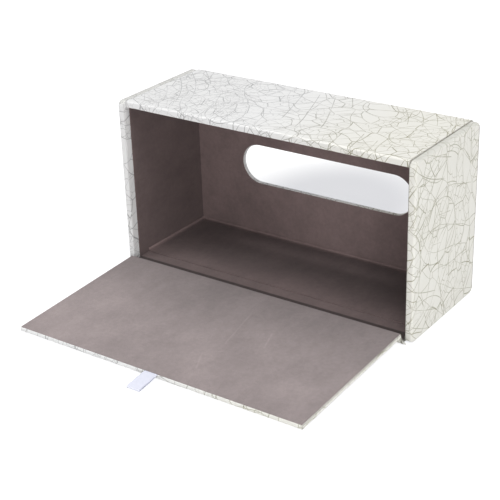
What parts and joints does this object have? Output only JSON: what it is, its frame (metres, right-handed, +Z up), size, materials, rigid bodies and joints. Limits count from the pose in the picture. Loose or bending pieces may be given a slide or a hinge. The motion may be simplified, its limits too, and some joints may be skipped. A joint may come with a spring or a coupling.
{
  "type": "tissue box with hinged flap",
  "caption": "Tissue box in crackle leatherette on its long side, with a slotted face and an open suede-lined flap hinged along its lower edge.",
  "frame": {"origin": "middle of the box's footprint, on the surface that it rests on", "axes": "+X along the flap's hinge, +Y towards the slotted face, +Z up"},
  "size_m": [0.26, 0.2516, 0.138],
  "materials": {
    "leatherette": "satin",
    "suede": "matte",
    "board": "matte",
    "foam": "matte",
    "magnet": "satin",
    "ribbon": "satin"
  },
  "bodies": {
    "box": {"end_board_left": "board", "end_board_right": "board", "end_cover_left": "leatherette", "end_cover_right": "leatherette", "end_lining_left": "suede", "end_lining_right": "suede", "slot_board": "board", "slot_padding": "foam", "upper_board": "board", "lower_board": "board", "closure_magnets": "magnet", "wrap_cover": "leatherette", "base_cover": "leatherette", "upper_lining": "suede", "floor_lining": "suede", "slot_lining": "suede", "hinge_anchor": "suede", "hinge_cover": "leatherette", "hinge_lining": "suede"},
    "flap": {"flap_board": "board", "flap_plates": "magnet", "flap_cover": "leatherette", "flap_lining": "suede", "ribbon_tab": "ribbon"}
  },
  "joints": [
    {"name": "flap_hinge", "type": "hinge", "parent": "box", "child": "flap", "pos_m": [0, -0.05085, 0.00505], "axis": [-1, 0, 0], "range_deg": [0, 92.2], "deforming": ["hinge_cover", "hinge_lining"]}
  ]
}
